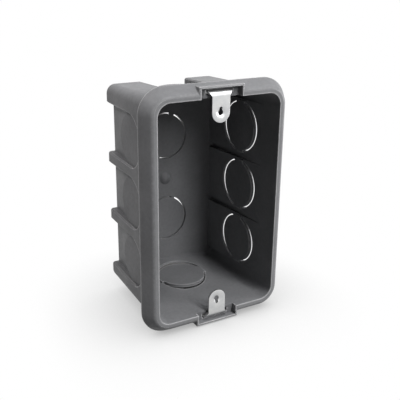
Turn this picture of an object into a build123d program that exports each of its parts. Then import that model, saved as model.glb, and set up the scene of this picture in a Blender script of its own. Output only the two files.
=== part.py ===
from build123d import *
import math
import os

# Rectangular wall box for a switch: one moulded plastic body and two bent sheet-metal screw lugs.
# The open front faces -Y and +Z is up. Shapes are drawn with depth measured back from the front lip,
# then moved so that the origin lies midway between the lug holes, on the lugs' front faces.
# All lengths are in millimetres and all angles in degrees.

# Screw holes and front opening
SCREW_SPACING = 83.3        # between the centres of the two lug holes
HOLE_TO_EDGE = 5.95         # from a lug hole's centre to the edge of the opening
OPENING_WIDTH = 57.1
OPENING_CORNER = 5.5

# Lip and hollow bevelled rim
LIP_LAND = 1.3              # flat front edge around the opening
LIP_ROUND = 2.0             # rounding between the lip and the bevel
LIP_THICKNESS = 2.2         # from the lip back to the hollow of the rim
BEVEL_RUN = 3.3             # how far the bevel spreads outwards
BEVEL_DEPTH = 5.2           # how far the bevel reaches back
RIM_EDGE = 1.0              # straight outer edge behind the bevel
RIM_ROUND = 0.4             # rounding between the bevel and that edge
RIM_WALL = 1.6

# Tapered box behind the rim
BODY_DEPTH = 52.8
WALL = 1.5
BACK_WALL = 2.4
TAPER = 2.35                # lean of all four walls
SHELL_CORNER = 6.2          # outer corner radius where the walls meet the lip
BACK_EDGE = 0.7             # chamfered edge around the back wall
FLOOR_EDGE = 0.7            # chamfered inner edge around the back wall

# Sunken bays in the walls, parted by hollow ribs
BAY_WIDTH = 22.4
RIB_WIDTH = 5.3
CORNER_POST = 6.0           # least width of wall left beside the outermost bays
RIB_EDGE = 0.65             # chamfered edges of the ribs and posts
BAY_WALL = 0.9              # thin floor of a pocket
SIDE_RAMP_LEAD = 5.1        # how far in front of its pocket a side bay's inner face leaves the wall
SIDE_RAMP_SINK = 2.4        # how far it has come inwards at the back wall
END_RAMP_LEAD = 3.1         # the same for the bays of the top and bottom walls
END_RAMP_SINK = 3.3

# Knock-outs of the bays: the ramped floor passes through a level disc, which two bridges hold
KNOCKOUT_DIAMETER = 23.6    # the hole that a disc leaves
KNOCKOUT_SLOT = 0.55        # slot around a disc
DISC_THICKNESS = 1.5
DISC_BRIDGE = 6.5           # width of a bridge between a disc and the rib beside it
SIDE_DISC_DEPTH = 26.8
END_DISC_DEPTH = 34.3

# Knock-outs of the back wall, each held by two bridges, and the pip between them
BACK_KNOCKOUT_DIAMETER = 22.3
BACK_KNOCKOUT_SLOT = 0.75
BACK_BRIDGE = 1.6
BACK_BRIDGE_TURN = 21.0     # lean of the bridges, clockwise from upright
BACK_KNOCKOUT_SPACING = 41.4
PIP_DIAMETER = 6.2
PIP_HEIGHT = 1.4

# Screw lugs, bent from sheet
LUG_SHEET = 0.9
LUG_SETBACK = 1.7           # from the lip back to a lug's front face
LUG_GAP = 0.15              # clearance between a lug and the body
TAB_WIDTH = 8.2
FOOT_WIDTH = 11.5
BEND_RADIUS = 2.0           # outside of the bend between tab and foot
HOOK_RADIUS = 0.5           # inside of the bend behind the slot
HOOK_RISE = 1.4
HOLE_DIAMETER = 2.9
SLIT_WIDTH = 1.4
SLIT_REACH = 2.4            # from the hole's centre to the end of the slit
DISH_DIAMETER = 5.2         # dished metal around the hole
DISH_DEPTH = 0.4

# Notches in the rim that carry the lugs
NOTCH_WIDTH = 19.1
NOTCH_HEIGHT = 4.2          # from the edge of the opening to the underside of the roof
NOTCH_WALL = 0.95           # roof and end walls
NOTCH_BACK = 1.6            # wall that the slot goes through
NOTCH_ROUND = 0.5           # rounded edges and corners of the housing
SLOT_WIDTH = 12.8
SLOT_HEIGHT = 1.7

# Sizes that follow from those above
HALF_WIDTH = OPENING_WIDTH / 2
HALF_HEIGHT = SCREW_SPACING / 2 + HOLE_TO_EDGE
SLOPE = math.tan(math.radians(TAPER))
INNER_DEPTH = BODY_DEPTH - BACK_WALL
BEVEL_LEAN = math.degrees(math.atan2(BEVEL_RUN, BEVEL_DEPTH))
LIP_REACH = LIP_LAND + LIP_ROUND * math.tan(math.radians(45 - BEVEL_LEAN / 2))
RIM_BACK = BEVEL_DEPTH + RIM_EDGE
RIM_INSET = RIM_WALL / math.cos(math.radians(BEVEL_LEAN))
HOLE_HEIGHT = SCREW_SPACING / 2
NOTCH_DEPTH = LUG_SETBACK + LUG_SHEET + LUG_GAP
SLOT_SILL = HALF_HEIGHT + WALL
PAST = 1.0                  # how far cutters run past the faces they cut
TOUCH = 0.001               # distance at which a point counts as lying on a face


def rim_section(depth, inset=0.0):
    """Outline of the bevel at a depth behind the lip, moved inwards by an inset."""
    reach = LIP_REACH + BEVEL_RUN * depth / BEVEL_DEPTH - inset
    size = (2 * (HALF_WIDTH + reach), 2 * (HALF_HEIGHT + reach))
    return Plane.XZ.offset(-depth) * RectangleRounded(*size, OPENING_CORNER + reach)


def tapered_form(depth, thickness, corner):
    """The tapered box filled in to a depth, with walls of a thickness around the opening."""
    size = (OPENING_WIDTH + 2 * thickness, 2 * (HALF_HEIGHT + thickness))
    return extrude(Plane.XZ * RectangleRounded(*size, corner), -depth, taper=TAPER)


def block(width, depths, heights):
    """Box centred on x = 0 between two depths and two heights."""
    size = (width, depths[1] - depths[0], heights[1] - heights[0])
    corner = Pos(0, depths[0], heights[0])
    return corner * Box(*size, align=(Align.CENTER, Align.MIN, Align.MIN))


def half_turn(shape):
    """The same shape turned half round about the box's depth axis."""
    return Rot(0, 180, 0) * shape


def both_ends(shape):
    """A shape at the top of the box and its twin at the bottom."""
    return [shape, half_turn(shape)]


def touches(edge, shapes):
    """Whether the middle of an edge lies on one of the shapes."""
    return min(shape.distance_to(edge @ 0.5) for shape in shapes) < TOUCH


def plain_rim():
    """Bevelled rim with its rounded lip, filled in."""
    rim = extrude(rim_section(0), -BEVEL_DEPTH, taper=-BEVEL_LEAN)
    rim += extrude(rim_section(BEVEL_DEPTH), -RIM_EDGE)
    bevel_end = rim.edges().filter_by_position(Axis.Y, BEVEL_DEPTH - TOUCH, BEVEL_DEPTH + TOUCH)
    rim = fillet(bevel_end, RIM_ROUND)
    return fillet(rim.faces().sort_by(Axis.Y)[0].edges(), LIP_ROUND)


def notch_housing():
    """Box in the top of the rim that holds the lug's notch, rounded where it shows."""
    roof = HALF_HEIGHT + NOTCH_HEIGHT + NOTCH_WALL
    housing = block(NOTCH_WIDTH + 2 * NOTCH_WALL, (0, RIM_BACK), (HALF_HEIGHT, roof))
    upper = housing.edges().filter_by_position(Axis.Z, HALF_HEIGHT + TOUCH, roof)
    return fillet(upper.filter_by_position(Axis.Y, 0, RIM_BACK - TOUCH), NOTCH_ROUND)


def hollow_rim():
    """Rim and notch housings with the rounded corners between them, hollow from behind."""
    rim = plain_rim()
    housings = both_ends(notch_housing())
    form = rim + housings
    corners = [edge for edge in form.edges() if touches(edge, [rim]) and touches(edge, housings)]
    hollow_depth = RIM_BACK + PAST - LIP_THICKNESS
    hollow = extrude(rim_section(LIP_THICKNESS, RIM_INSET), -hollow_depth, taper=-BEVEL_LEAN)
    return fillet(corners, NOTCH_ROUND) - (hollow - housings)


def notch_hollow():
    """Space behind the slotted wall of the notch, open to the back."""
    depths = (NOTCH_DEPTH + NOTCH_BACK, RIM_BACK + PAST)
    return block(NOTCH_WIDTH, depths, (HALF_HEIGHT - PAST, HALF_HEIGHT + NOTCH_HEIGHT))


def notch_cut():
    """The notch in front of the slotted wall, and the slot with its rounded sill."""
    notch = block(NOTCH_WIDTH, (-PAST, NOTCH_DEPTH), (HALF_HEIGHT - PAST, HALF_HEIGHT + NOTCH_HEIGHT))
    slot = block(SLOT_WIDTH, (0, NOTCH_DEPTH + NOTCH_BACK + PAST), (SLOT_SILL, SLOT_SILL + SLOT_HEIGHT))
    sill_round = BEND_RADIUS - LUG_SHEET - LUG_GAP
    corner = block(SLOT_WIDTH, (NOTCH_DEPTH, NOTCH_DEPTH + sill_round), (SLOT_SILL - sill_round, SLOT_SILL))
    centre = Pos(0, NOTCH_DEPTH + sill_round, SLOT_SILL - sill_round)
    bar = centre * Rot(0, 90, 0) * Cylinder(sill_round, NOTCH_WIDTH)
    return notch + slot + (corner - bar)


def pocketed_shell(pockets):
    """Solid form of the box behind the rim, with its pockets and the chamfered edges of ribs and back."""
    shell = tapered_form(BODY_DEPTH, WALL, SHELL_CORNER)
    walls = shell.faces().sort_by(Axis.Y)[1:-1]
    form = shell - pockets
    mouths = [edge for edge in form.edges() if touches(edge, walls) and touches(edge, pockets)]
    form = chamfer(mouths, RIB_EDGE)
    return chamfer(form.faces().sort_by(Axis.Y)[-1].edges(), BACK_EDGE)


def plain_cavity():
    """The space inside the box before the bays narrow it."""
    space = tapered_form(INNER_DEPTH, 0, OPENING_CORNER)
    floor_edges = space.faces().sort_by(Axis.Y)[-1].edges()
    return chamfer(floor_edges, FLOOR_EDGE)


class BayWall:
    """A wall whose bays are drawn with X outwards, Y into the depth and Z along the wall."""

    def __init__(self, lip_half, run, ramp_lead, ramp_sink, disc_depth):
        self.lip_half = lip_half
        self.run = run
        self.ramp_start = disc_depth - BAY_WIDTH / 2 - ramp_lead
        self.ramp_sink = ramp_sink
        self.disc_depth = disc_depth

    def inner_face(self, depth):
        """Distance of the plain wall's inner face from the middle of the box."""
        return self.lip_half - SLOPE * depth

    def bay_face(self, depth):
        """Distance of a bay's ramped inner face from the middle of the box."""
        part = (depth - self.ramp_start) / (INNER_DEPTH - self.ramp_start)
        return self.inner_face(depth) - self.ramp_sink * part

    def centres(self):
        """Places of the bays along the wall."""
        pitch = BAY_WIDTH + RIB_WIDTH
        count = int((self.run - 2 * CORNER_POST + RIB_WIDTH) / pitch)
        return [pitch * (number - (count - 1) / 2) for number in range(count)]

    def prism(self, corners, width):
        """Shape drawn by its corners across the wall, drawn out along the wall."""
        return extrude(make_face(Polyline(*corners, close=True)), width / 2, both=True)

    def ramp(self):
        """Material that brings a bay's inner face inwards."""
        ends = (self.ramp_start, BODY_DEPTH - BACK_WALL / 2)
        inner = [(self.bay_face(depth), depth) for depth in ends]
        outer = [(self.inner_face(depth) + WALL / 2, depth) for depth in reversed(ends)]
        return self.prism(inner + outer, BAY_WIDTH + 2 * WALL)

    def pocket(self):
        """Pocket sunk into a bay square to the wall's outer face, with a round end about its disc."""
        length = BODY_DEPTH + PAST - self.disc_depth
        outline = Circle(BAY_WIDTH / 2) + Pos(length / 2, 0) * Rectangle(length, BAY_WIDTH)
        skin = Plane((self.lip_half + WALL, 0, 0), x_dir=(-SLOPE, 1, 0), z_dir=(1, SLOPE, 0))
        across = skin * Pos(self.disc_depth, 0) * extrude(outline, BAY_WIDTH, both=True)
        ends = (self.disc_depth - BAY_WIDTH, BODY_DEPTH + PAST)
        floor = [(self.bay_face(depth) + BAY_WALL, depth) for depth in ends]
        mouth = [(self.lip_half + WALL + PAST, depth) for depth in reversed(ends)]
        return self.prism(floor + mouth, BAY_WIDTH + PAST) & across

    def disc_seat(self):
        """Plane through the middle of a knock-out disc, with X into the depth and Y along the wall."""
        middle = self.bay_face(self.disc_depth) + BAY_WALL / 2
        return Plane((middle, self.disc_depth, 0), x_dir=(0, 1, 0), z_dir=(1, 0, 0))

    def knockout_hole(self):
        """Round hole in a bay's floor, cut straight where it meets the ribs."""
        outline = Circle(KNOCKOUT_DIAMETER / 2) & Rectangle(KNOCKOUT_DIAMETER, BAY_WIDTH)
        return self.disc_seat() * extrude(outline, self.ramp_sink + WALL, both=True)

    def disc(self):
        """Disc in that hole, level along the depth, with its bridges into the ribs."""
        outline = Circle(KNOCKOUT_DIAMETER / 2 - KNOCKOUT_SLOT) + Rectangle(DISC_BRIDGE, BAY_WIDTH + WALL)
        return self.disc_seat() * extrude(outline, DISC_THICKNESS / 2, both=True)


def on_all_walls(side, end, side_shape, end_shape):
    """Copies of a bay's shape at every bay of the side walls and of the top and bottom walls."""
    right = [Pos(0, 0, place) * side_shape for place in side.centres()]
    top = [Rot(0, -90, 0) * Pos(0, 0, place) * end_shape for place in end.centres()]
    return right + [half_turn(shape) for shape in right] + top + [half_turn(shape) for shape in top]


def back_slots():
    """Slots around the two knock-outs of the back wall, broken by their bridges."""
    ring = Circle(BACK_KNOCKOUT_DIAMETER / 2) - Circle(BACK_KNOCKOUT_DIAMETER / 2 - BACK_KNOCKOUT_SLOT)
    ring -= Rectangle(BACK_BRIDGE, 2 * BACK_KNOCKOUT_DIAMETER)
    cutter = extrude(Rot(0, 0, -BACK_BRIDGE_TURN) * ring, BACK_WALL + PAST, both=True)
    place = Plane.XZ.offset(-INNER_DEPTH) * Pos(0, BACK_KNOCKOUT_SPACING / 2)
    return both_ends(place * cutter)


def pip():
    """Shallow dome in the middle of the back wall."""
    radius = ((PIP_DIAMETER / 2) ** 2 + PIP_HEIGHT ** 2) / (2 * PIP_HEIGHT)
    ball = Pos(0, INNER_DEPTH + radius - PIP_HEIGHT, 0) * Sphere(radius)
    front = block(PIP_DIAMETER + PAST, (INNER_DEPTH - PAST - PIP_HEIGHT, INNER_DEPTH + BACK_WALL / 2),
                  (-PIP_DIAMETER / 2 - PAST, PIP_DIAMETER / 2 + PAST))
    return ball & front


def box_body():
    """The moulded box with its rim, bays, notches and knock-outs."""
    narrowing = WALL - SLOPE * BODY_DEPTH
    side_run = 2 * (HALF_HEIGHT + narrowing)
    end_run = 2 * (HALF_WIDTH + narrowing)
    side = BayWall(HALF_WIDTH, side_run, SIDE_RAMP_LEAD, SIDE_RAMP_SINK, SIDE_DISC_DEPTH)
    end = BayWall(HALF_HEIGHT, end_run, END_RAMP_LEAD, END_RAMP_SINK, END_DISC_DEPTH)
    outside = pocketed_shell(on_all_walls(side, end, side.pocket(), end.pocket()))
    inside = plain_cavity() - on_all_walls(side, end, side.ramp(), end.ramp()) - pip()
    rim = hollow_rim() - both_ends(notch_hollow())
    body = rim + outside - inside - both_ends(notch_cut())
    body -= on_all_walls(side, end, side.knockout_hole(), end.knockout_hole()) + back_slots()
    return body + on_all_walls(side, end, side.disc(), end.disc())


def round_corner(face, place, radius):
    """A flat shape with its corner nearest to a place rounded."""
    corner = face.vertices().sort_by_distance(Vertex(*place, 0))[0]
    return fillet(corner, radius)


def lug_profile():
    """Side view of a lug, as depth and height: tab, bend, foot through the slot and hook behind it."""
    front = LUG_SETBACK
    foot = SLOT_SILL + LUG_GAP
    hook = NOTCH_DEPTH + NOTCH_BACK + LUG_GAP
    tip = HOLE_HEIGHT - TAB_WIDTH / 2
    top = foot + LUG_SHEET + HOOK_RISE
    face = make_face(Polyline(
        (front, tip),
        (front + LUG_SHEET, tip),
        (front + LUG_SHEET, foot),
        (hook + LUG_SHEET, foot),
        (hook + LUG_SHEET, top),
        (hook, top),
        (hook, foot + LUG_SHEET),
        (front, foot + LUG_SHEET),
        close=True,
    ))
    face = round_corner(face, (front + LUG_SHEET, foot), BEND_RADIUS - LUG_SHEET)
    face = round_corner(face, (front, foot + LUG_SHEET), BEND_RADIUS)
    inside = min(HOOK_RADIUS, (hook - front - BEND_RADIUS) / 2)
    face = round_corner(face, (hook, foot + LUG_SHEET), inside)
    return round_corner(face, (hook + LUG_SHEET, foot), inside + LUG_SHEET)


def lug_outline():
    """Front view of a lug: round-ended tab, shoulders at 45 degrees and the wider foot."""
    bend = SLOT_SILL + LUG_GAP + LUG_SHEET - BEND_RADIUS
    shoulder = bend + (FOOT_WIDTH - TAB_WIDTH) / 2
    top = SLOT_SILL + LUG_GAP + LUG_SHEET + HOOK_RISE + PAST
    right = [
        (TAB_WIDTH / 2, HOLE_HEIGHT),
        (TAB_WIDTH / 2, bend),
        (FOOT_WIDTH / 2, shoulder),
        (FOOT_WIDTH / 2, top),
    ]
    left = [(-x, z) for x, z in reversed(right)]
    return make_face(Polyline(*right, *left, close=True)) + Pos(0, HOLE_HEIGHT) * Circle(TAB_WIDTH / 2)


def upper_lug():
    """Bent strip with a dished and slit screw hole."""
    sheet = extrude(Plane.YZ * lug_profile(), FOOT_WIDTH / 2, both=True)
    lug = sheet & extrude(Plane.XZ * lug_outline(), -BODY_DEPTH)
    hole = HOLE_DIAMETER / 2
    dish = DISH_DIAMETER / 2
    back_of_tab = Plane.XZ.offset(-LUG_SETBACK - LUG_SHEET) * Pos(0, HOLE_HEIGHT)
    front_of_tab = Plane.XZ.offset(-LUG_SETBACK) * Pos(0, HOLE_HEIGHT)
    inwards = (Align.CENTER, Align.CENTER, Align.MAX)
    lug += back_of_tab * Cone(hole + DISH_DEPTH, dish, DISH_DEPTH, align=inwards)
    lug -= front_of_tab * Cone(hole, dish, DISH_DEPTH, align=inwards)
    slit = Pos(0, SLIT_REACH / 2) * SlotOverall(SLIT_REACH, SLIT_WIDTH, rotation=90)
    return lug - extrude(front_of_tab * (Circle(hole) + slit), -BODY_DEPTH)


def main():
    """Write each piece in the finished frame."""
    frame = Pos(0, -LUG_SETBACK, 0)
    lug = upper_lug()
    pieces = {"box_body": box_body(), "upper_lug": lug, "lower_lug": half_turn(lug)}
    os.makedirs("parts", exist_ok=True)
    for name, piece in pieces.items():
        export_step(frame * piece, f"parts/{name}.step")


main()
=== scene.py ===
"""Grey moulded wall box for a switch, with two zinc-plated screw lugs, in a plain studio.

Lengths are in metres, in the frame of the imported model: the open front faces -Y, +Z is up and the
origin lies midway between the two screw holes, on the front faces of the lugs.
"""
import logging
import math
from dataclasses import dataclass
from enum import Enum, IntEnum
from typing import Any, Callable, Union

import bpy
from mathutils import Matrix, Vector


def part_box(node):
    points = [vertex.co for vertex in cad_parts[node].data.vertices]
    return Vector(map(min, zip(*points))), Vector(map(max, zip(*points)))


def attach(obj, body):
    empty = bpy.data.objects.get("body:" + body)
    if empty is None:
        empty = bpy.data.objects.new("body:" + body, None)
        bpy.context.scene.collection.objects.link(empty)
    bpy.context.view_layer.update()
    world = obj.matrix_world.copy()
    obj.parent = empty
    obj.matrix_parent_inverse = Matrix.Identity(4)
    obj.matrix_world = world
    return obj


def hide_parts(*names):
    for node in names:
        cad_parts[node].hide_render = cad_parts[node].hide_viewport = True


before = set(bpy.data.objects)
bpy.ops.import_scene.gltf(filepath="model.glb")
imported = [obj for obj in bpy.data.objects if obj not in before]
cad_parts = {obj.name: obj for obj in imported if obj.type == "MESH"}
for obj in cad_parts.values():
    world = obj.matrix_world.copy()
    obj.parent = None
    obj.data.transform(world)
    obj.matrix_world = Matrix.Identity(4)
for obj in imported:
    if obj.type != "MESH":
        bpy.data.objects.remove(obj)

LOG = logging.getLogger("switch_box")
MM = 0.001
BODY = "root"
QUARTER_TURN = math.pi / 2

Colour = tuple[float, float, float, float]
Place = tuple[float, float, float]
Range = tuple[float, float]
Socket = bpy.types.NodeSocket
Value = Union[float, Place, Colour, Socket]
Closer = Callable[[Socket], bpy.types.NodeTree]

WHITE: Colour = (1.0, 1.0, 1.0, 1.0)
ORIGIN: Place = (0.0, 0.0, 0.0)


class Slot(Enum):
    """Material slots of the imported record."""

    PLASTIC = "body_plastic"
    STEEL = "lug_steel"


class Node(Enum):
    """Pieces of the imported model."""

    BODY = "box_body"
    UPPER_LUG = "upper_lug"
    LOWER_LUG = "lower_lug"


class MixSocket(IntEnum):
    """Numbers of the Mix node's colour sockets, which share their names with others."""

    AMOUNT = 0
    FIRST = 6
    SECOND = 7
    RESULT = 2


class Tree:
    """A node tree, with short ways to add and join its nodes."""

    def __init__(self, tree: bpy.types.NodeTree) -> None:
        """Keep the tree of a material, a world or a node group."""
        self.tree = tree

    def join(self, source: Value, target: Socket) -> None:
        """Link an output to an input, or set the input to a plain value.

        Args:
            source: Output socket, number, place or colour.
            target: Input that takes it.
        """
        if isinstance(source, Socket):
            self.tree.links.new(source, target)
        else:
            target.default_value = source

    def add(self, kind: str, values: dict | None = None, **settings: Any) -> bpy.types.Node:
        """Add a node.

        Args:
            kind: Type name of the node.
            values: Numbers, colours or sockets for its inputs, by name or number.
            settings: Properties of the node itself.

        Returns:
            The new node.
        """
        node = self.tree.nodes.new(kind)
        for name, setting in settings.items():
            setattr(node, name, setting)
        for key, value in (values or {}).items():
            self.join(value, node.inputs[key])
        return node

    def group(self, made: bpy.types.NodeTree, values: dict | None = None) -> Socket:
        """Place a node group with its values, and give its one output."""
        return self.add("ShaderNodeGroup", values, node_tree=made).outputs[0]

    def place(self) -> Socket:
        """Give the place on the piece, in its Object coordinates."""
        return self.add("ShaderNodeTexCoord").outputs["Object"]

    def math(self, operation: str, first: Value, second: Value = 0.0) -> Socket:
        """Join two numbers by one operation, and give its result."""
        node = self.add("ShaderNodeMath", {0: first, 1: second}, operation=operation)
        return node.outputs[0]

    def vector(self, operation: str, *inputs: Value) -> bpy.types.NodeOutputs:
        """Join places by one operation, and give its outputs, Vector and Value."""
        node = self.add("ShaderNodeVectorMath", dict(enumerate(inputs)), operation=operation)
        return node.outputs

    def noise(self, place: Socket, scale: Value, detail: float, roughness: float = 0.5) -> Socket:
        """Give cloudy noise of about 0 to 1 at a place."""
        values = {"Vector": place, "Scale": scale, "Detail": detail, "Roughness": roughness}
        return self.add("ShaderNodeTexNoise", values).outputs["Fac"]

    def remap(self, value: Value, source: Range = (0.0, 1.0), target: Range = (0.0, 1.0)) -> Socket:
        """Carry a value from one range to another, and stop it at both ends.

        Args:
            value: The value.
            source: Range that it comes from.
            target: Range that it goes to.

        Returns:
            The carried value.
        """
        limits = {"From Min": source[0], "From Max": source[1],
                  "To Min": target[0], "To Max": target[1]}
        return self.add("ShaderNodeMapRange", {"Value": value, **limits}).outputs["Result"]

    def blend(self, amount: Value, first: Value, second: Value) -> Socket:
        """Blend two colours by an amount."""
        values = {MixSocket.AMOUNT: amount, MixSocket.FIRST: first, MixSocket.SECOND: second}
        return self.add("ShaderNodeMix", values, data_type="RGBA").outputs[MixSocket.RESULT]

    def most(self, values: list[Socket]) -> Socket:
        """Give the largest of some values.

        Args:
            values: The values, at least one.

        Returns:
            The largest.
        """
        largest = values[0]
        for value in values[1:]:
            largest = self.math("MAXIMUM", largest, value)
        return largest


@dataclass
class SurfaceGroups:
    """Node groups that the finishes share, each made once."""

    cloud_detail: float = 4.0
    speck_detail: float = 3.0
    speck_share: float = 0.5
    tone_range: Range = (0.45, 1.05)
    grain_detail: float = 5.0
    grain_roughness: float = 0.6
    edge_mask_samples: int = 8
    edge_mask_range: Range = (0.97, 0.65)
    edge_mask_breaks: Range = (0.35, 1.25)
    box_middle: Place = (0.0, 25.0 * MM, 0.0)
    side_wall: float = 22.0 * MM
    end_wall: float = 41.0 * MM
    inner_limit: float = 14.0 * MM
    noise_middle: float = 0.5
    lip_specks: float = 900.0
    lip_clouds: float = 160.0
    lip_border: Range = (-0.25 * MM, 0.25 * MM)
    lip_breaks: Range = (0.4, 1.6)

    def __post_init__(self) -> None:
        """Make every group."""
        self.mottle = self._mottle()
        self.grain = self._grain()
        self.convex_edge_mask = self._convex_edge_mask()
        self.outer_skin = self._outer_skin()
        self.ring_rim_highlight = self._ring_rim_highlight()
        self.lip_scuff_and_highlight = self._lip_scuff_and_highlight()

    @staticmethod
    def _start(name: str, inputs: dict[str, float],
               output: str) -> tuple[Tree, dict[str, Socket], Closer]:
        """Open a group with its sockets.

        Args:
            name: Name of the group.
            inputs: Names and first values of its number inputs.
            output: Name of its one output.

        Returns:
            The group's tree, its input sockets by name, and a function that joins the output.
        """
        group = bpy.data.node_groups.new(name, "ShaderNodeTree")
        kind = "NodeSocketFloat"
        for label, value in inputs.items():
            socket = group.interface.new_socket(label, in_out="INPUT", socket_type=kind)
            socket.default_value = value
        group.interface.new_socket(output, in_out="OUTPUT", socket_type=kind)
        tree = Tree(group)
        source = tree.add("NodeGroupInput")
        sink = tree.add("NodeGroupOutput")

        def close(value: Socket) -> bpy.types.NodeTree:
            """Join the output and give the finished group."""
            tree.join(value, sink.inputs[output])
            return group

        return tree, {label: source.outputs[label] for label in inputs}, close

    def _mottle(self) -> bpy.types.NodeTree:
        """Make the cloudy change of tone: broad clouds with finer ones over them.

        Returns:
            The group.
        """
        names = {"Scale": 60.0, "Fine Scale": 400.0}
        tree, sockets, close = self._start("cloudy_tone", names, "Tone")
        place = tree.place()
        broad = tree.noise(place, sockets["Scale"], self.cloud_detail)
        fine = tree.noise(place, sockets["Fine Scale"], self.speck_detail)
        both = tree.math("ADD", broad, tree.math("MULTIPLY", fine, self.speck_share))
        return close(tree.remap(both, self.tone_range))

    def _grain(self) -> bpy.types.NodeTree:
        """Make the fine grain that may be drawn out along one way, as a height.

        Returns:
            The group.
        """
        names = {"Scale": 2500.0, "Stretch X": 1.0, "Stretch Y": 1.0, "Stretch Z": 1.0}
        tree, sockets, close = self._start("surface_grain", names, "Height")
        stretch = tree.add("ShaderNodeCombineXYZ", {a: sockets[f"Stretch {a}"] for a in "XYZ"})
        drawn = tree.vector("MULTIPLY", tree.place(), stretch.outputs["Vector"])["Vector"]
        return close(tree.noise(drawn, sockets["Scale"], self.grain_detail, self.grain_roughness))

    def _convex_edge_mask(self) -> bpy.types.NodeTree:
        """Make the mask of outer edges, broken up by clouds: on the plastic, edge wear and painted
        highlight lines.

        Returns:
            The group.
        """
        names = {"Reach": 0.5 * MM, "Break Scale": 300.0}
        tree, sockets, close = self._start("convex_edge_mask", names, "Mask")
        depth = tree.add("ShaderNodeAmbientOcclusion", {"Distance": sockets["Reach"]},
                         samples=self.edge_mask_samples, inside=True)
        edge = tree.remap(depth.outputs["AO"], self.edge_mask_range)
        breaks = tree.noise(tree.place(), sockets["Break Scale"], self.speck_detail)
        return close(tree.math("MULTIPLY", edge, tree.remap(breaks, target=self.edge_mask_breaks)))

    def _outer_skin(self) -> bpy.types.NodeTree:
        """Make the mask of the outer skin whose edges take wear and painted highlight lines: ribs,
        posts, back and front lip.

        Returns:
            The group. Its mask leaves out the bays and the inner walls.
        """
        names = {"Half Width": 29.3 * MM, "Half Height": 48.3 * MM, "Taper": 0.041,
                 "Lip": 0.2 * MM, "Back": 50.3 * MM}
        tree, sockets, close = self._start("outer_skin", names, "Mask")
        place = tree.add("ShaderNodeSeparateXYZ", {0: tree.place()}).outputs
        draft = tree.math("MULTIPLY", place["Y"], sockets["Taper"])
        parts = [tree.math("LESS_THAN", place["Y"], sockets["Lip"]),
                 tree.math("GREATER_THAN", place["Y"], sockets["Back"])]
        for axis, limit in (("X", "Half Width"), ("Z", "Half Height")):
            reach = tree.math("ADD", tree.math("ABSOLUTE", place[axis]), draft)
            parts.append(tree.math("GREATER_THAN", reach, sockets[limit]))
        return close(tree.most(parts))

    def _ring_rim_highlight(self) -> bpy.types.NodeTree:
        """Make the mask of painted highlight on the rims of the knock-out rings on the side and end
        walls, seen from inside.

        Returns:
            The group.
        """
        names = {"Side Depth": 25.1 * MM, "End Depth": 32.6 * MM, "Pitch": 27.7 * MM,
                 "Radius": 11.6 * MM, "Width": 0.9 * MM}
        tree, sockets, close = self._start("ring_rim_highlight", names, "Mask")
        place = tree.place()
        x, y, z = tree.add("ShaderNodeSeparateXYZ", {0: place}).outputs
        half = tree.math("MULTIPLY", sockets["Pitch"], 0.5)
        turns = tree.math("FLOORED_MODULO", tree.math("ADD", z, half), sockets["Pitch"])
        row = tree.math("SUBTRACT", turns, half)
        side = tree.math("SUBTRACT", y, sockets["Side Depth"])
        end = tree.math("SUBTRACT", y, sockets["End Depth"])
        rings = []
        walls = ((side, row, x, self.side_wall), (x, end, z, self.end_wall))
        for across, along, out, wall in walls:
            square = tree.math("ADD", tree.math("MULTIPLY", across, across),
                               tree.math("MULTIPLY", along, along))
            away = tree.math("SUBTRACT", tree.math("SQRT", square), sockets["Radius"])
            near = tree.math("LESS_THAN", tree.math("ABSOLUTE", away), sockets["Width"])
            at_wall = tree.math("GREATER_THAN", tree.math("ABSOLUTE", out), wall)
            rings.append(tree.math("MULTIPLY", near, at_wall))
        normal = tree.add("ShaderNodeNewGeometry").outputs["True Normal"]
        from_middle = tree.vector("SUBTRACT", place, self.box_middle)["Vector"]
        facing = tree.vector("DOT_PRODUCT", normal, from_middle)["Value"]
        inside = tree.math("LESS_THAN", facing, self.inner_limit)
        return close(tree.math("MULTIPLY", tree.most(rings), inside))

    def _lip_scuff_and_highlight(self) -> bpy.types.NodeTree:
        """Make the mask of the front lip, scuffed and painted with a highlight line, with a
        speckled border.

        Returns:
            The group.
        """
        names = {"Front": -1.35 * MM, "Speckle": 0.9 * MM}
        tree, sockets, close = self._start("lip_scuff_and_highlight", names, "Mask")
        place = tree.place()
        depth = tree.add("ShaderNodeSeparateXYZ", {0: place}).outputs["Y"]
        specks = tree.noise(place, self.lip_specks, self.speck_detail)
        centred = tree.math("SUBTRACT", specks, self.noise_middle)
        stray = tree.math("MULTIPLY", centred, sockets["Speckle"])
        past = tree.math("SUBTRACT", sockets["Front"], tree.math("ADD", depth, stray))
        edge = tree.remap(past, self.lip_border)
        clouds = tree.noise(place, self.lip_clouds, self.cloud_detail)
        return close(tree.math("MULTIPLY", edge, tree.remap(clouds, target=self.lip_breaks)))


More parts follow.
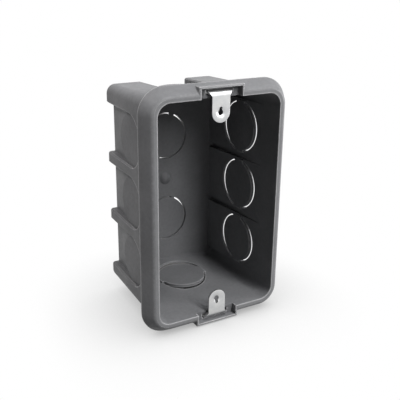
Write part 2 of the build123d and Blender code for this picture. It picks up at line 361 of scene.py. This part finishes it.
@dataclass(frozen=True)
class PlasticFinish:
    """Grey moulded plastic, satin matte."""

    name: str = "grey_plastic"
    dark: Colour = (0.144, 0.146, 0.152, 1.0)
    light: Colour = (0.198, 0.200, 0.207, 1.0)
    cloud_scale: float = 55.0
    speck_scale: float = 700.0
    pale_mark: Colour = (0.56, 0.56, 0.57, 1.0)
    pale_mark_amount: float = 0.85
    edge_mask_reach: float = 0.6 * MM
    break_scale: float = 650.0
    rim_highlight_share: float = 0.5
    scuff_and_highlight_amount: float = 0.13
    smoothest: float = 0.40
    roughest: float = 0.56
    specular: float = 0.15
    edge_radius: float = 0.2 * MM
    edge_samples: int = 8
    grain_scale: float = 2600.0
    grain_depth: float = 0.012 * MM
    grain_strength: float = 0.35

    def material(self, groups: SurfaceGroups) -> bpy.types.Material:
        """Make the material.

        Args:
            groups: Shared node groups.

        Returns:
            The material, ready to assign.
        """
        material, tree, shader = new_material(self.name)
        tone = tree.group(groups.mottle, {"Scale": self.cloud_scale,
                                          "Fine Scale": self.speck_scale})
        colour = tree.blend(tone, self.dark, self.light)
        # Pale front lip: scuffing, and a painted highlight line along it.
        scuff_and_highlight = tree.math("MULTIPLY", tree.group(groups.lip_scuff_and_highlight), self.scuff_and_highlight_amount)
        colour = tree.blend(scuff_and_highlight, colour, self.pale_mark)
        # Pale outer edges: edge wear and painted highlight lines.
        edge_mask = tree.group(groups.convex_edge_mask, {"Reach": self.edge_mask_reach,
                                           "Break Scale": self.break_scale})
        edge_paling = tree.math("MULTIPLY", edge_mask, self.pale_mark_amount)
        # Pale knock-out ring rims: painted highlight.
        lit_rims = tree.math("MULTIPLY", tree.group(groups.ring_rim_highlight), self.rim_highlight_share)
        skin_and_lit_rims = tree.math("MAXIMUM", tree.group(groups.outer_skin), lit_rims)
        colour = tree.blend(tree.math("MULTIPLY", edge_paling, skin_and_lit_rims), colour, self.pale_mark)
        soft_edges = tree.add("ShaderNodeBevel", {"Radius": self.edge_radius},
                              samples=self.edge_samples)
        grain = tree.group(groups.grain, {"Scale": self.grain_scale})
        bump = tree.add("ShaderNodeBump", {"Height": grain, "Strength": self.grain_strength,
                                           "Distance": self.grain_depth,
                                           "Normal": soft_edges.outputs["Normal"]})
        rough = tree.remap(tone, target=(self.roughest, self.smoothest))
        tree.join(colour, shader.inputs["Base Color"])
        tree.join(rough, shader.inputs["Roughness"])
        tree.join(bump.outputs["Normal"], shader.inputs["Normal"])
        shader.inputs["Specular IOR Level"].default_value = self.specular
        return material


@dataclass(frozen=True)
class ZincFinish:
    """Bright zinc plating on bent sheet steel."""

    name: str = "zinc_plating"
    cool: Colour = (0.50, 0.51, 0.52, 1.0)
    warm: Colour = (0.62, 0.62, 0.61, 1.0)
    cloud_scale: float = 350.0
    speck_scale: float = 1800.0
    pale_mark: Colour = (0.82, 0.82, 0.82, 1.0)
    pale_mark_amount: float = 0.6
    edge_mask_reach: float = 0.25 * MM
    break_scale: float = 900.0
    smoothest: float = 0.30
    roughest: float = 0.46
    streak_scale: float = 1500.0
    streak_across: float = 3.0
    streak_along: float = 0.25
    streak_depth: float = 0.006 * MM
    streak_strength: float = 0.3

    def material(self, groups: SurfaceGroups) -> bpy.types.Material:
        """Make the material.

        Args:
            groups: Shared node groups.

        Returns:
            The material, ready to assign.
        """
        material, tree, shader = new_material(self.name)
        tone = tree.group(groups.mottle, {"Scale": self.cloud_scale,
                                          "Fine Scale": self.speck_scale})
        colour = tree.blend(tone, self.cool, self.warm)
        # Paler at the sharp outer edges.
        edge_mask = tree.group(groups.convex_edge_mask, {"Reach": self.edge_mask_reach,
                                           "Break Scale": self.break_scale})
        edge_paling = tree.math("MULTIPLY", edge_mask, self.pale_mark_amount)
        colour = tree.blend(edge_paling, colour, self.pale_mark)
        streaks = tree.group(groups.grain, {"Scale": self.streak_scale,
                                            "Stretch X": self.streak_across,
                                            "Stretch Z": self.streak_along})
        bump = tree.add("ShaderNodeBump", {"Height": streaks, "Strength": self.streak_strength,
                                           "Distance": self.streak_depth})
        rough = tree.remap(streaks, target=(self.smoothest, self.roughest))
        tree.join(colour, shader.inputs["Base Color"])
        tree.join(rough, shader.inputs["Roughness"])
        tree.join(bump.outputs["Normal"], shader.inputs["Normal"])
        shader.inputs["Metallic"].default_value = 1.0
        return material


def new_material(name: str) -> tuple[bpy.types.Material, Tree, bpy.types.Node]:
    """Start a material on the Principled shader.

    Args:
        name: Name of the material.

    Returns:
        The material, its tree and its shader node.
    """
    material = bpy.data.materials.new(name)
    material.use_nodes = True
    return material, Tree(material.node_tree), material.node_tree.nodes["Principled BSDF"]


def dress(piece: bpy.types.Object, material: bpy.types.Material) -> None:
    """Give a piece one material all over."""
    piece.data.materials.clear()
    piece.data.materials.append(material)


def clear_selection() -> None:
    """Leave edit mode and deselect every object."""
    if bpy.context.object and bpy.context.object.mode != "OBJECT":
        bpy.ops.object.mode_set(mode="OBJECT")
    bpy.ops.object.select_all(action="DESELECT")


def take_up(piece: bpy.types.Object) -> None:
    """Make a piece the only one selected, and active.

    Args:
        piece: The piece.
    """
    clear_selection()
    piece.select_set(True)
    bpy.context.view_layer.objects.active = piece


def select_points(piece: bpy.types.Object, chosen: Callable[[Vector], bool]) -> None:
    """Select the points of a piece in edit mode by their place.

    Args:
        piece: Piece in edit mode, which stays in it.
        chosen: Test of a point's place.
    """
    bpy.ops.mesh.select_mode(type="VERT")
    bpy.ops.mesh.select_all(action="DESELECT")
    bpy.ops.object.mode_set(mode="OBJECT")
    for point in piece.data.vertices:
        point.select = chosen(point.co)
    bpy.ops.object.mode_set(mode="EDIT")
    bpy.ops.mesh.select_mode(type="EDGE")


def merge_points(reach: float) -> None:
    """Merge the points of the piece in edit mode that lie within a reach of each other."""
    bpy.ops.mesh.select_all(action="SELECT")
    bpy.ops.mesh.remove_doubles(threshold=reach)


def draw_out(*way: float) -> None:
    """Extrude what is selected along a way."""
    bpy.ops.mesh.extrude_region_move(TRANSFORM_OT_translate={"value": way})


def apply_modifier(piece: bpy.types.Object, kind: str, **settings: Any) -> None:
    """Add a modifier to the active piece and apply it.

    Args:
        piece: The piece.
        kind: Type of the modifier.
        settings: Its properties.
    """
    modifier = piece.modifiers.new(kind.lower(), kind)
    for name, setting in settings.items():
        setattr(modifier, name, setting)
    bpy.ops.object.modifier_apply(modifier=modifier.name)


@dataclass
class MouldedBody:
    """The moulded box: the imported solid's own surface, welded and smoothly shaded.

    The step values say where the steps beside the top and bottom bays end at the back of the box.
    """

    name: str = "moulded_box"
    node: Node = Node.BODY
    weld: float = 0.002 * MM
    step_weld: float = 0.02 * MM
    crease: float = math.radians(28.0)
    step_side: float = 12.7 * MM
    step_depth: float = 48.7 * MM
    step_height: float = 42.23 * MM
    step_foot: float = 46.0 * MM
    step_room: float = 1.0 * MM
    near: float = 0.05 * MM

    def build(self) -> bpy.types.Object:
        """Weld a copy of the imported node.

        Returns:
            The finished piece.
        """
        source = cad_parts[self.node.value]
        piece = bpy.data.objects.new(self.name, source.data.copy())
        bpy.context.scene.collection.objects.link(piece)
        take_up(piece)
        bpy.ops.mesh.customdata_custom_splitnormals_clear()
        bpy.ops.object.mode_set(mode="EDIT")
        merge_points(self.weld)
        self._close_steps(piece)
        merge_points(self.step_weld)
        bpy.ops.object.mode_set(mode="OBJECT")
        bpy.ops.object.shade_smooth_by_angle(angle=self.crease)
        return piece

    def _close_steps(self, piece: bpy.types.Object) -> None:
        """Draw the foot of the step beside each end bay up to its top edge, at the box's back.

        Args:
            piece: The body, in edit mode.
        """
        for way in (1.0, -1.0):
            select_points(piece, lambda place: self._at_foot(place, way))
            top = (0.0, self.step_depth, way * self.step_height)
            bpy.ops.transform.resize(value=(1.0, 0.0, 0.0), center_override=top)

    def _at_foot(self, place: Vector, way: float) -> bool:
        """Test whether a point lies at the back end of a step's foot.

        Args:
            place: Place of the point.
            way: 1 at the top of the box, and -1 at the bottom.

        Returns:
            True if it does.
        """
        beside = abs(abs(place.x) - self.step_side) < self.near
        behind = -self.step_room < place.y - self.step_depth < self.near
        below = self.step_height + self.step_room < way * place.z < self.step_foot
        return beside and behind and below


@dataclass
class ScrewLug:
    """Bent strip with a dished, slit screw hole, modelled as its front skin and then thickened.

    The dish lists the radius and depth of its rings, from the hole outwards.
    """

    name: str = "upper_screw_lug"
    node: Node = Node.UPPER_LUG
    sheet: float = 0.9 * MM
    tab_width: float = 8.2 * MM
    foot_width: float = 11.5 * MM
    bend: float = 2.0 * MM
    bend_steps: int = 10
    hook_bend: float = 0.4 * MM
    hook_back: float = 2.8 * MM
    hook_rise: float = 1.4 * MM
    hole: float = 1.45 * MM
    spokes: int = 40
    dish_depth: float = 0.4 * MM
    dish: tuple[Range, ...] = ((1.75 * MM, 0.30 * MM), (2.10 * MM, 0.15 * MM),
                               (2.45 * MM, 0.04 * MM), (2.80 * MM, 0.0))
    slit_half: float = 0.7 * MM
    slit_reach: float = 2.4 * MM
    slit_spokes: int = 24
    slit_depth: float = 6.0 * MM
    sheared_edge: float = 0.09 * MM
    sheared_steps: int = 2
    sheared_angle: float = math.radians(50.0)
    crease: float = math.radians(35.0)
    weld: float = 0.0009 * MM
    near: float = 0.01 * MM

    def __post_init__(self) -> None:
        """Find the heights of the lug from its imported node."""
        low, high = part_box(self.node.value)
        self.half_tab = self.tab_width / 2
        self.hole_height = low.z + self.half_tab
        self.foot_top = high.z - self.hook_rise
        self.bend_height = self.foot_top - self.bend

    def build(self) -> bpy.types.Object:
        """Model the upper lug.

        Returns:
            The finished piece.
        """
        piece = self._rings()
        self._strip(piece)
        self._shoulders(piece)
        merge_points(self.weld)
        bpy.ops.mesh.normals_make_consistent(inside=False)
        bpy.ops.object.mode_set(mode="OBJECT")
        self._thicken(piece)
        self._cut_slit(piece)
        bpy.ops.object.shade_smooth_by_angle(angle=self.crease)
        return piece

    def _rings(self) -> bpy.types.Object:
        """Draw the hole and spread rings from it: the dish, then the round end of the tab.

        Returns:
            The started piece, in edit mode.
        """
        clear_selection()
        bpy.ops.mesh.primitive_circle_add(vertices=self.spokes, radius=self.hole,
                                          location=(0.0, self.dish_depth, self.hole_height),
                                          rotation=(QUARTER_TURN, 0.0, 0.0))
        piece = bpy.context.object
        piece.name = self.name
        piece.data.name = self.name
        bpy.ops.object.transform_apply(location=True, rotation=True, scale=True)
        bpy.ops.object.mode_set(mode="EDIT")
        bpy.ops.mesh.select_mode(type="EDGE")
        bpy.ops.mesh.select_all(action="SELECT")
        radius, depth = self.hole, self.dish_depth
        for wider, higher in (*self.dish, (self.half_tab, 0.0)):
            draw_out(0.0, higher - depth, 0.0)
            growth = wider / radius
            bpy.ops.transform.resize(value=(growth, 1.0, growth),
                                     center_override=(0.0, higher, self.hole_height))
            radius, depth = wider, higher
        return piece

    def _strip(self, piece: bpy.types.Object) -> None:
        """Draw the upper half of the tab up, round the bend, along the foot and up the hook.

        Args:
            piece: The lug, in edit mode.
        """
        sideways = (1.0, 0.0, 0.0)
        straight_end = self.hook_back - self.hook_bend
        select_points(piece, self._on_upper_edge)
        draw_out(0.0, 0.0, self.half_tab)
        bpy.ops.transform.resize(value=(1.0, 1.0, 0.0),
                                 center_override=(0.0, 0.0, self.bend_height))
        bpy.ops.mesh.spin(steps=self.bend_steps, angle=QUARTER_TURN, axis=sideways,
                          center=(0.0, self.bend, self.bend_height))
        draw_out(0.0, straight_end - self.bend, 0.0)
        bpy.ops.mesh.spin(steps=self.bend_steps // 2, angle=-QUARTER_TURN, axis=sideways,
                          center=(0.0, straight_end, self.foot_top + self.hook_bend))
        draw_out(0.0, 0.0, self.hook_rise - self.hook_bend)

    def _on_upper_edge(self, place: Vector) -> bool:
        """Test whether a point lies on the upper half of the tab's outline."""
        away = math.hypot(place.x, place.z - self.hole_height)
        return place.z > self.hole_height - self.near and away > self.half_tab - self.near

    def _shoulders(self, piece: bpy.types.Object) -> None:
        """Widen the strip at 45 degrees from the tab to the foot.

        Args:
            piece: The lug, in edit mode.
        """
        for step in range(1, self.bend_steps + 1):
            angle = QUARTER_TURN * step / self.bend_steps
            climb = self.bend * math.sin(angle)
            back = self.bend * (1.0 - math.cos(angle))
            if step < self.bend_steps:
                select_points(piece, lambda place: self._in_row(place, climb, back))
            else:
                select_points(piece, lambda place: place.y > self.bend - self.near)
            growth = min(self.foot_width / 2, self.half_tab + climb) / self.half_tab
            bpy.ops.transform.resize(value=(growth, 1.0, 1.0), center_override=ORIGIN)

    def _in_row(self, place: Vector, climb: float, back: float) -> bool:
        """Test whether a point lies in the row of the bend at a climb and a way back."""
        level = abs(place.z - self.bend_height - climb) < self.near
        return level and abs(place.y - back) < self.near

    def _thicken(self, piece: bpy.types.Object) -> None:
        """Give the skin its thickness and soften the sheared edges.

        Args:
            piece: The lug's skin.
        """
        take_up(piece)
        apply_modifier(piece, "SOLIDIFY", thickness=self.sheet, offset=-1.0, use_rim=True)
        apply_modifier(piece, "BEVEL", width=self.sheared_edge, segments=self.sheared_steps,
                       limit_method="ANGLE", angle_limit=self.sheared_angle)

    def _cut_slit(self, piece: bpy.types.Object) -> None:
        """Cut the round-ended slit from the hole upwards, through the whole sheet.

        Args:
            piece: The thick lug, which is active afterwards.
        """
        clear_selection()
        drop = self.slit_reach - self.slit_half
        end = self.hole_height + drop
        bpy.ops.mesh.primitive_cylinder_add(vertices=self.slit_spokes, radius=self.slit_half,
                                            depth=self.slit_depth, location=(0.0, 0.0, end),
                                            rotation=(QUARTER_TURN, 0.0, 0.0))
        cutter = bpy.context.object
        bpy.ops.object.transform_apply(location=True, rotation=True, scale=True)
        bpy.ops.object.mode_set(mode="EDIT")
        select_points(cutter, lambda place: place.z < end - self.near)
        bpy.ops.transform.translate(value=(0.0, 0.0, -drop))
        take_up(piece)
        apply_modifier(piece, "BOOLEAN", object=cutter, operation="DIFFERENCE", solver="EXACT")
        bpy.data.meshes.remove(cutter.data)

    @staticmethod
    def turned(piece: bpy.types.Object, name: str) -> bpy.types.Object:
        """Copy the lug with its own mesh, turned half round for the lower notch.

        Args:
            piece: The upper lug.
            name: Name of the copy.

        Returns:
            The lower lug.
        """
        take_up(piece)
        bpy.ops.object.duplicate(linked=False)
        twin = bpy.context.object
        twin.name = name
        twin.data.name = name
        bpy.ops.object.mode_set(mode="EDIT")
        bpy.ops.mesh.select_all(action="SELECT")
        bpy.ops.transform.rotate(value=math.pi, orient_axis="Y", center_override=ORIGIN)
        bpy.ops.object.mode_set(mode="OBJECT")
        return twin


@dataclass(frozen=True)
class LampSetting:
    """A flat lamp that faces the origin. One without gloss leaves no highlight."""

    place: Place
    width: float
    height: float
    watts: float
    colour: Place = WHITE[:3]
    gloss: bool = True


class Lamp(Enum):
    """Lamps of the studio."""

    KEY = LampSetting((0.191, -0.553, 0.546), 0.20, 0.62, 6.0)
    LEFT = LampSetting((-0.432, 0.116, 0.663), 0.25, 0.25, 3.0, (1.0, 0.97, 0.96))
    TOP = LampSetting((0.148, -0.124, 0.776), 0.25, 0.25, 2.6)
    RIGHT = LampSetting((0.489, -0.104, 0.040), 0.25, 0.25, 1.6)
    BACK = LampSetting((0.400, 0.680, 0.100), 0.40, 0.30, 2.0, gloss=False)

    def hang(self) -> None:
        """Add the lamp to the scene."""
        setting = self.value
        light = bpy.data.lights.new(self.name.lower(), "AREA")
        light.shape = "RECTANGLE"
        light.size = setting.width
        light.size_y = setting.height
        light.energy = setting.watts
        light.color = setting.colour
        holder = bpy.data.objects.new(self.name.lower(), light)
        holder.location = setting.place
        holder.visible_camera = False
        holder.visible_glossy = setting.gloss
        holder.rotation_euler = (-Vector(setting.place)).to_track_quat("-Z", "Y").to_euler()
        bpy.context.scene.collection.objects.link(holder)


@dataclass(frozen=True)
class ShadePatch:
    """Patch of painted shadow on the floor, where the white glow gives way to the dark floor: its
    middle, its scale along each axis, and its border's two ends.
    """

    middle: Place
    scale: Place
    border: Range


@dataclass
class Studio:
    """Floor, lamps, background and camera."""

    camera_place: Place = (-0.13404, -0.21693, 0.09721)
    camera_turn: Place = (69.951, -0.630, -29.777)
    picture_side: float = 400.0
    focal_pixels: float = 647.66
    sensor: float = 36.0
    nearest: float = 0.01
    floor_side: float = 12.0
    floor_colour: Colour = (0.14, 0.14, 0.14, 1.0)
    floor_roughness: float = 0.9
    shade_reach: float = 0.045
    shade_samples: int = 12
    shade_floor: float = 0.35
    patch_behind: ShadePatch = ShadePatch((0.012, 0.055, 0.0), (1.0, 1.0, 0.0), (0.019, 0.033))
    patch_below: ShadePatch = ShadePatch((0.0, 0.034, 0.0), (1.0, 0.6, 0.0), (0.015, 0.0215))
    ambient: float = 0.01

    def build(self) -> None:
        """Set up everything around the object."""
        self._camera()
        self._floor()
        self._background()
        for lamp in Lamp:
            lamp.hang()
        bpy.context.scene.view_settings.view_transform = "Standard"

    def _camera(self) -> None:
        """Place the camera where the photograph was taken from."""
        lens = bpy.data.cameras.new("camera")
        lens.sensor_width = self.sensor
        lens.lens = self.focal_pixels / self.picture_side * self.sensor
        lens.clip_start = self.nearest
        camera = bpy.data.objects.new("camera", lens)
        camera.location = self.camera_place
        camera.rotation_euler = tuple(math.radians(angle) for angle in self.camera_turn)
        bpy.context.scene.collection.objects.link(camera)
        bpy.context.scene.camera = camera

    def _floor(self) -> None:
        """Lay a white floor under the box, with its real shadow from the lamps and painted shadow
        where the glow is dimmed and cut away.
        """
        clear_selection()
        low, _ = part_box(Node.BODY.value)
        bpy.ops.mesh.primitive_plane_add(size=self.floor_side, location=(0.0, 0.0, low.z))
        floor = bpy.context.object
        floor.name = "floor"
        bpy.ops.object.transform_apply(location=True, rotation=True, scale=True)
        material, tree, shader = new_material("white_floor")
        shader.inputs["Base Color"].default_value = self.floor_colour
        shader.inputs["Roughness"].default_value = self.floor_roughness
        # Painted contact shadow: ambient occlusion dims the floor's white glow near the box.
        shade = tree.add("ShaderNodeAmbientOcclusion", {"Distance": self.shade_reach},
                         samples=self.shade_samples)
        strength = tree.remap(shade.outputs["AO"], target=(self.shade_floor, 1.0))
        glow = tree.add("ShaderNodeEmission", {"Color": WHITE, "Strength": strength})
        # Painted shadow: the glow is left out in patches under and behind the box.
        share = tree.math("MULTIPLY", self._seen(tree), self._floor_share(tree))
        mix = tree.add("ShaderNodeMixShader", {0: share, 1: shader.outputs[0], 2: glow.outputs[0]})
        tree.join(mix.outputs[0], tree.tree.nodes["Material Output"].inputs["Surface"])
        dress(floor, material)

    def _floor_share(self, tree: Tree) -> Socket:
        """Give the share of the floor's white, which paints shadow: none under the box and behind
        it, all elsewhere.

        Args:
            tree: The floor material's tree.

        Returns:
            The share.
        """
        place = tree.place()
        shares = []
        for patch in (self.patch_behind, self.patch_below):
            offset = tree.vector("SUBTRACT", place, patch.middle)["Vector"]
            scaled = tree.vector("MULTIPLY", offset, patch.scale)["Vector"]
            shares.append(tree.remap(tree.vector("LENGTH", scaled)["Value"], patch.border))
        return tree.math("MINIMUM", *shares)

    @staticmethod
    def _seen(tree: Tree) -> Socket:
        """Give one for rays from the camera, gloss or glass, and nought for the rest."""
        path = tree.add("ShaderNodeLightPath").outputs
        return tree.most([path[f"Is {kind} Ray"] for kind in ("Camera", "Glossy", "Transmission")])

    def _background(self) -> None:
        """Set a white background to look at, with only a little of its light on the object."""
        world = bpy.data.worlds.new("studio")
        world.use_nodes = True
        bpy.context.scene.world = world
        tree = Tree(world.node_tree)
        background = world.node_tree.nodes["Background"]
        background.inputs["Color"].default_value = WHITE
        strength = tree.remap(self._seen(tree), target=(self.ambient, 1.0))
        tree.join(strength, background.inputs["Strength"])


def settle(piece: bpy.types.Object, node: Node, slot: Slot) -> None:
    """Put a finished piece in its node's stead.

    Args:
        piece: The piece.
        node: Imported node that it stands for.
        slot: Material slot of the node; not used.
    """
    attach(piece, BODY)
    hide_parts(node.value)
    LOG.info("%s: %d faces, for %s", piece.name, len(piece.data.polygons), node.value)


def main() -> None:
    """Build the object and its studio."""
    logging.basicConfig(level=logging.INFO)
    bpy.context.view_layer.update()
    groups = SurfaceGroups()
    plastic = PlasticFinish().material(groups)
    zinc = ZincFinish().material(groups)

    body = MouldedBody().build()
    dress(body, plastic)
    settle(body, Node.BODY, Slot.PLASTIC)

    maker = ScrewLug()
    upper = maker.build()
    lower = maker.turned(upper, "lower_screw_lug")
    for lug, node in ((upper, Node.UPPER_LUG), (lower, Node.LOWER_LUG)):
        dress(lug, zinc)
        settle(lug, node, Slot.STEEL)

    Studio().build()


if __name__ == "__main__":
    main()
